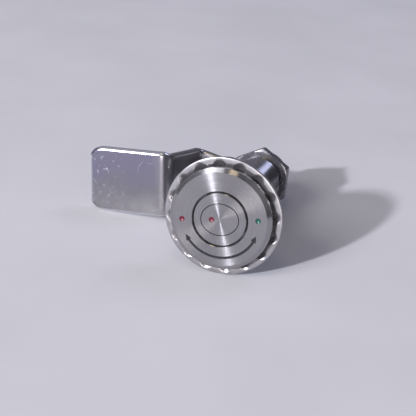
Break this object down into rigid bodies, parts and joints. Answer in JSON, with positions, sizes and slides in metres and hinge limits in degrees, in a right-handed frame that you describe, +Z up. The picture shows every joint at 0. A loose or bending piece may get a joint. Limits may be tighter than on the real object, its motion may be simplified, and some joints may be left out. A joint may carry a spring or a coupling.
{
  "type": "cam lock",
  "caption": "Steel cam lock with a round bevelled face, a loose scooped guard ring, a long threaded barrel with a hexagon nut, and a cranked cam.",
  "frame": {"origin": "on the lock's axis, in the plane where the rear flange of the head seats on the panel", "axes": "the face looks to -Y and the barrel runs back along +Y, +Z is up and +X is to the right seen from the front, with the red mark at the left and the green mark at the right"},
  "size_m": [0.0734, 0.0616, 0.0368],
  "materials": {
    "turned_steel": "turned stainless steel with fine circular marks",
    "body_steel": "turned and threaded stainless steel",
    "ring_steel": "polished stainless steel",
    "cam_steel": "brushed steel sheet with tumbled edges",
    "bolt_steel": "plain bright steel hardware",
    "spring_steel": "spring steel",
    "red_enamel": "red enamel",
    "green_enamel": "green enamel",
    "dark_paint": "dark paint in the sunk arrow",
    "seal_rubber": "black rubber",
    "module_plastic": "potted black plastic"
  },
  "bodies": {
    "lock_body": {"housing": "body_steel", "face_plate": "turned_steel", "mounting_nut": "body_steel", "red_dot_left": "red_enamel", "green_dot_right": "green_enamel", "arrow_fill": "dark_paint"},
    "guard": {"guard_ring": "ring_steel"},
    "rotor_set": {"rotor": "turned_steel", "rotor_seal": "seal_rubber", "retaining_ring": "spring_steel", "stop_washer": "bolt_steel", "cam": "cam_steel", "spring_washer": "spring_steel", "cam_bolt": "bolt_steel", "reader_module": "module_plastic", "plug_spring": "spring_steel", "plug_pin": "bolt_steel", "blocking_spring": "spring_steel"},
    "plug_set": {"plug": "turned_steel", "red_dot_plug": "red_enamel"},
    "blocker": {"blocking_pin": "bolt_steel"}
  },
  "joints": [
    {"name": "rotor_turn", "type": "hinge", "parent": "lock_body", "child": "rotor_set", "pos_m": [0, 0, 0], "axis": [0, -1, 0], "range_deg": [0, 180]},
    {"name": "ring_spin", "type": "hinge", "parent": "lock_body", "child": "guard", "pos_m": [0, -0.0015, 0], "axis": [0, -1, 0], "continuous": true},
    {"name": "plug_push", "type": "slide", "parent": "rotor_set", "child": "plug_set", "axis": [0, 1, 0], "range_m": [0, 0.002], "stiffness_N_per_m": 500, "springref_m": -0.004, "deforming": ["plug_spring"]},
    {"name": "blocking_pin_slide", "type": "slide", "parent": "rotor_set", "child": "blocker", "axis": [0, 0, 1], "range_m": [0, 0.0013], "deforming": ["blocking_spring"]}
  ]
}
